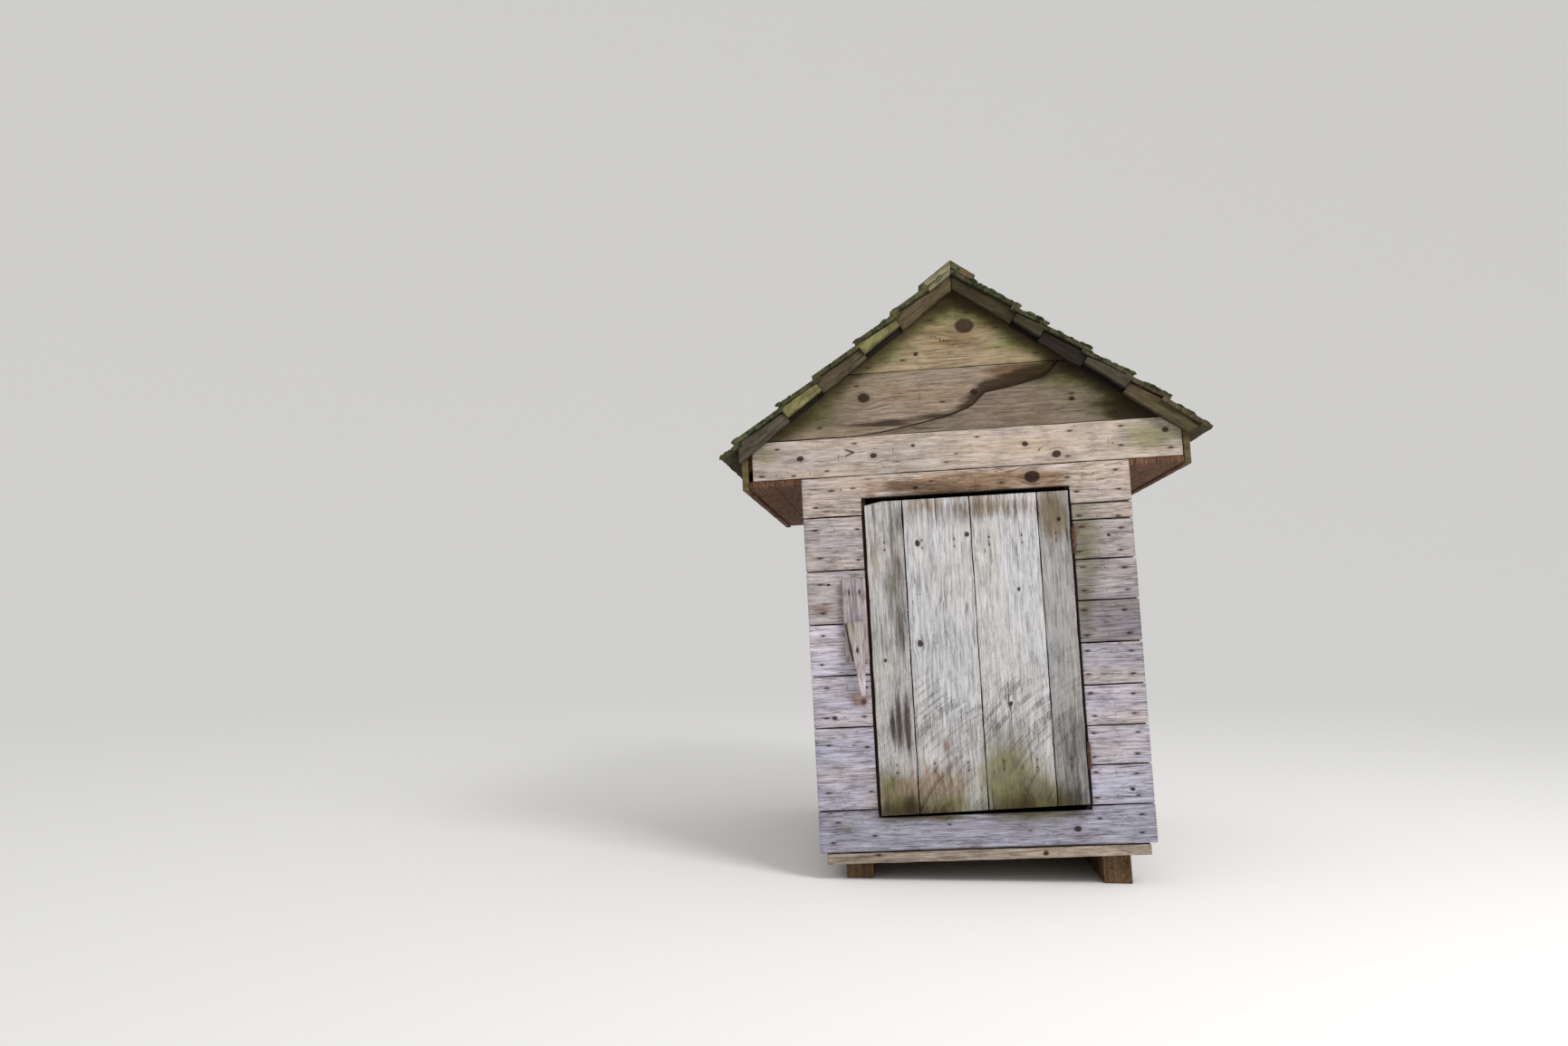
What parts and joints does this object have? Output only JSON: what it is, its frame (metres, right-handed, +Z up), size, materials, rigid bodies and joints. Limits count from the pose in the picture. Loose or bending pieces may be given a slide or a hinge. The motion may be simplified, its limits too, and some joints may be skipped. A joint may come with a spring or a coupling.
{
  "type": "wooden outhouse",
  "caption": "Leaning plank outhouse with a gabled roof of lapped boards, boxed eaves and a ledged door that swings outward, held by a wooden turn-button.",
  "frame": {"origin": "on the ground, under the middle of the box that holds the whole leaning building", "axes": "+Z up; +Y from the front to the back, so the door faces -Y; +X to the right, seen from the front"},
  "size_m": [1.8262, 1.84, 2.3159],
  "materials": {
    "wall_wood": "silver-grey weathered sawn boards, dry and rough",
    "frieze_wood": "pale grey weathered board, dry and rough",
    "gable_wood": "brown-grey weathered boards with algae near the roof",
    "roof_wood": "dark mossy roof boards",
    "rake_wood": "dark damp board",
    "eave_wood": "dark red-brown unpainted board",
    "base_wood": "tan-grey sawn timber",
    "frame_wood": "brown sawn timber, dry",
    "door_wood": "pale silver-grey weathered boards",
    "latch_wood": "pale grey weathered wood",
    "rusty_iron": "rusted, matt"
  },
  "bodies": {
    "building": {"front_wall_left": "wall_wood", "front_wall_right": "wall_wood", "front_wall_over_door": "wall_wood", "front_wall_under_door": "wall_wood", "front_frieze": "frieze_wood", "front_gable": "gable_wood", "back_wall": "wall_wood", "back_frieze": "frieze_wood", "back_gable": "gable_wood", "left_wall": "wall_wood", "right_wall": "wall_wood", "floor": "frame_wood", "front_sill": "base_wood", "back_sill": "base_wood", "side_sills": "base_wood", "left_bearer": "base_wood", "right_bearer": "base_wood", "front_posts": "frame_wood", "back_posts": "frame_wood", "wall_studs": "frame_wood", "door_jambs": "frame_wood", "door_lintel": "frame_wood", "left_plate": "frame_wood", "right_plate": "frame_wood", "front_rafters": "frame_wood", "middle_rafters": "frame_wood", "back_rafters": "frame_wood", "left_roof": "roof_wood", "right_roof": "roof_wood", "left_ridge_board": "roof_wood", "right_ridge_board": "roof_wood", "front_rake_boards": "rake_wood", "back_rake_boards": "rake_wood", "left_fascia": "eave_wood", "right_fascia": "eave_wood", "left_soffit": "eave_wood", "right_soffit": "eave_wood", "latch_block": "latch_wood", "latch_nail": "rusty_iron", "frame_hinge_leaves": "rusty_iron", "hinge_pins": "rusty_iron"},
    "door": {"door": "door_wood", "door_ledges": "door_wood", "door_hinge_leaves": "rusty_iron"},
    "turn_button": {"turn_button": "latch_wood"}
  },
  "joints": [
    {"name": "door_hinge", "type": "hinge", "parent": "building", "child": "door", "pos_m": [0.42719, -0.882, 0.8579], "axis": [-0.0506, 0, 0.9987], "range_deg": [0, 110]},
    {"name": "turn_button_pivot", "type": "hinge", "parent": "building", "child": "turn_button", "pos_m": [-0.39228, -0.9065, 0.84642], "axis": [0, -1, 0], "range_deg": [-90, 90]}
  ]
}
